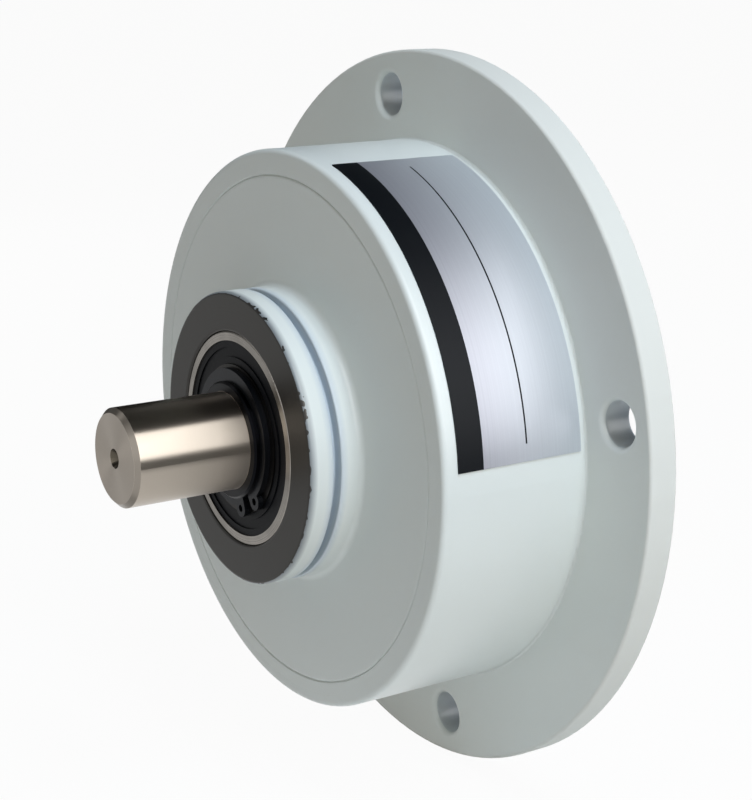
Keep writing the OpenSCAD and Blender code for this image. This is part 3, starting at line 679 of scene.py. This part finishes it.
# Film of paint over the body's rounded front edge, which carries the light round it evenly
film_corners = [
    (body_r + FILM, body_front_h - FILM_W, 0.0),
    (body_r + FILM, body_front_h + FILM, BODY_EDGE + FILM),
    (body_r - FILM_W, body_front_h + FILM, 0.0),
    (body_r - FILM_W, body_front_h - FILM_ROOT, 0.0),
    (body_r - FILM_ROOT, body_front_h - FILM_ROOT, 0.0),
    (body_r - FILM_ROOT, body_front_h - FILM_W, 0.0),
]
mesh_piece("body_edge_film", *turned_surface(film_corners), body_enamel,
           "housing", None, "white_paint")


# Stage, in metres: a pale floor under the flange, and cards that the bright metal reflects

FLOOR_Z = -flange_r * MM
FLOOR_HALF = 20.0
FLOOR_WHITE_SHARE = 0.95


def background_mix(tree, white_share, other):
    """White for rays from the camera and for glossy and transmission rays, by the given share, else
    other."""
    path = add(tree, "ShaderNodeLightPath")
    seen = path.outputs["Is Camera Ray"]
    for rays in ("Is Glossy Ray", "Is Transmission Ray"):
        seen = add(tree, "ShaderNodeMath", {0: seen, 1: path.outputs[rays]},
                   operation="MAXIMUM").outputs["Value"]
    share = add(tree, "ShaderNodeMath", {0: seen, 1: white_share}, operation="MULTIPLY").outputs["Value"]
    white = add(tree, "ShaderNodeEmission", {"Color": (1.0, 1.0, 1.0, 1.0), "Strength": 1.0})
    return add(tree, "ShaderNodeMixShader",
               {0: share, 1: other.outputs[0], 2: white.outputs[0]}).outputs[0]


def stage_sheet(name, corners, material):
    """One flat stage quad from four corners."""
    mesh = bpy.data.meshes.new(name)
    mesh.from_pydata(corners, [], [(0, 1, 2, 3)])
    mesh.materials.append(material)
    sheet = bpy.data.objects.new(name, mesh)
    scene.collection.objects.link(sheet)
    return sheet


def at(distance, turn):
    """(x, z) at a distance from the shaft, at a turn in degrees from +X towards +Z."""
    return distance * math.cos(math.radians(turn)), distance * math.sin(math.radians(turn))


def card(name, low, high, from_y, to_y, glow):
    """A flat card off camera that only reflections see, of an even brightness where 1 is white. Its
    long edges run along the shaft, between two y places, at (x, z) low and high."""
    finish, tree = blank_material(name)
    even = add(tree, "ShaderNodeEmission", {"Color": (1.0, 1.0, 1.0, 1.0), "Strength": glow})
    add(tree, "ShaderNodeOutputMaterial", {"Surface": even.outputs["Emission"]})
    ends = ((low, from_y), (low, to_y), (high, to_y), (high, from_y))
    made = stage_sheet(name, [(edge[0], y, edge[1]) for edge, y in ends], finish)
    made.visible_camera = False
    made.visible_diffuse = False
    made.visible_shadow = False


floor_white, floor_tree = blank_material("matt_white_floor")
matt = add(floor_tree, "ShaderNodeBsdfDiffuse", {"Color": linear("#E2E2E0")})
add(floor_tree, "ShaderNodeOutputMaterial",
    {"Surface": background_mix(floor_tree, FLOOR_WHITE_SHARE, matt)})
floor_signs = ((-1, -1), (1, -1), (1, 1), (-1, 1))
stage_sheet("floor", [(x * FLOOR_HALF, y * FLOOR_HALF, FLOOR_Z) for x, y in floor_signs], floor_white)

# Cards: glow of the dark ones, y places of those ahead of the body at the left, the edge where the two
# upright ones there meet, x of their foot, and how far the low ones clear the floor
DARK = 0.005
AHEAD = (-1.2, -0.1)
LEFT_MEETING = (-0.67, 0.0)
LEFT_FOOT_X = -0.7
CARD_LIFT = 0.001
card("dark_card_above", at(0.6, 66), at(0.6, 125), -0.6, 2.0, DARK)
card("dark_card_left", at(0.6, 125), at(0.6, 188), -0.1, 2.0, DARK)
card("dark_card_low_right", at(0.25, -22), at(0.25, 1), -0.1, 0.8, DARK)
card("dark_card_above_rear", at(0.6, 46), at(0.6, 66), 0.3, 2.0, DARK)
card("bright_card_right", at(1.0, 6), at(1.0, 64), -0.4, 0.47, 3.6)
card("bright_card_right_rear", at(1.0, -4), at(1.0, 46), 0.47, 1.3, 3.1)
card("grey_card_front_left_high", at(0.7, 140), LEFT_MEETING, *AHEAD, 0.17)
card("grey_card_front_left", LEFT_MEETING, (LEFT_FOOT_X, FLOOR_Z + 2 * CARD_LIFT), *AHEAD, 0.8)
card("grey_card_floor_left", (LEFT_FOOT_X, FLOOR_Z + CARD_LIFT), (0.0, FLOOR_Z + CARD_LIFT), *AHEAD, 0.56)

# Camera at the photograph's viewpoint
IMAGE_W = 752
FOCAL_PX = 1854.9
SENSOR_MM = 36.0
CAMERA_AT = (0.4006, -0.2769, 0.1270)
CAMERA_TURN = 57.46
CAMERA_RISE = 14.48
CLIP_START = 0.02
lens = bpy.data.cameras.new("camera")
lens.sensor_fit = "HORIZONTAL"
lens.sensor_width = SENSOR_MM
lens.lens = FOCAL_PX / IMAGE_W * SENSOR_MM
lens.clip_start = CLIP_START
camera = bpy.data.objects.new("camera", lens)
camera.location = CAMERA_AT
camera.rotation_euler = (math.radians(90 - CAMERA_RISE), 0.0, math.radians(CAMERA_TURN))
scene.collection.objects.link(camera)
scene.camera = camera


# Light, in metres: an even pale studio, with soft boxes beside the brake and one behind it

SIDE_BOX_Y = -0.03
SIDE_BOX_DISTANCE = 1.0
SIDE_BOX_SIZE = (0.18, 0.5)
AMBIENT = 0.282


def soft_box(name, place, target, size, watts, code):
    """Rectangular area lamp at a place, pointed at a target, of a width and height and a colour.
    Metal doesn't reflect it: the bright cards are there for that."""
    lamp = bpy.data.lights.new(name, "AREA")
    lamp.shape = "RECTANGLE"
    lamp.size, lamp.size_y = size
    lamp.energy = watts
    lamp.color = linear(code)[:3]
    made = bpy.data.objects.new(name, lamp)
    made.location = place
    aim = np.array(place, float) - np.array(target, float)
    flat = math.hypot(aim[0], aim[1])
    made.rotation_euler = (math.atan2(flat, aim[2]), 0.0, math.atan2(aim[0], -aim[1]))
    made.visible_glossy = False
    scene.collection.objects.link(made)


def side_box(name, turn, watts, code):
    """Narrow soft box in the plane of the body, which lights its sides and hardly its faces, at a
    turn in degrees from +X towards +Z."""
    x, z = at(SIDE_BOX_DISTANCE, turn)
    soft_box(name, (x, SIDE_BOX_Y, z), (0.0, SIDE_BOX_Y, 0.0), SIDE_BOX_SIZE, watts, code)


side_box("soft_box_right", 25, 3.1, "#FFFFFF")
side_box("soft_box_above_right", 60, 5.1, "#D6EAFF")
side_box("soft_box_left", 165, 1.2, "#FFFFFF")
soft_box("soft_box_behind", (-0.2, 1.4, 0.15), (0.0, 0.0, 0.0), (0.8, 0.3), 3.8, "#FFFFFF")

studio = bpy.data.worlds.new("studio")
scene.world = studio
studio.use_nodes = True
studio_tree = studio.node_tree
studio_tree.nodes.clear()
ambient = add(studio_tree, "ShaderNodeBackground", {"Color": linear("#FFFCF6"), "Strength": AMBIENT})
add(studio_tree, "ShaderNodeOutputWorld", {"Surface": background_mix(studio_tree, 1.0, ambient)})

scene.view_settings.view_transform = "Standard"
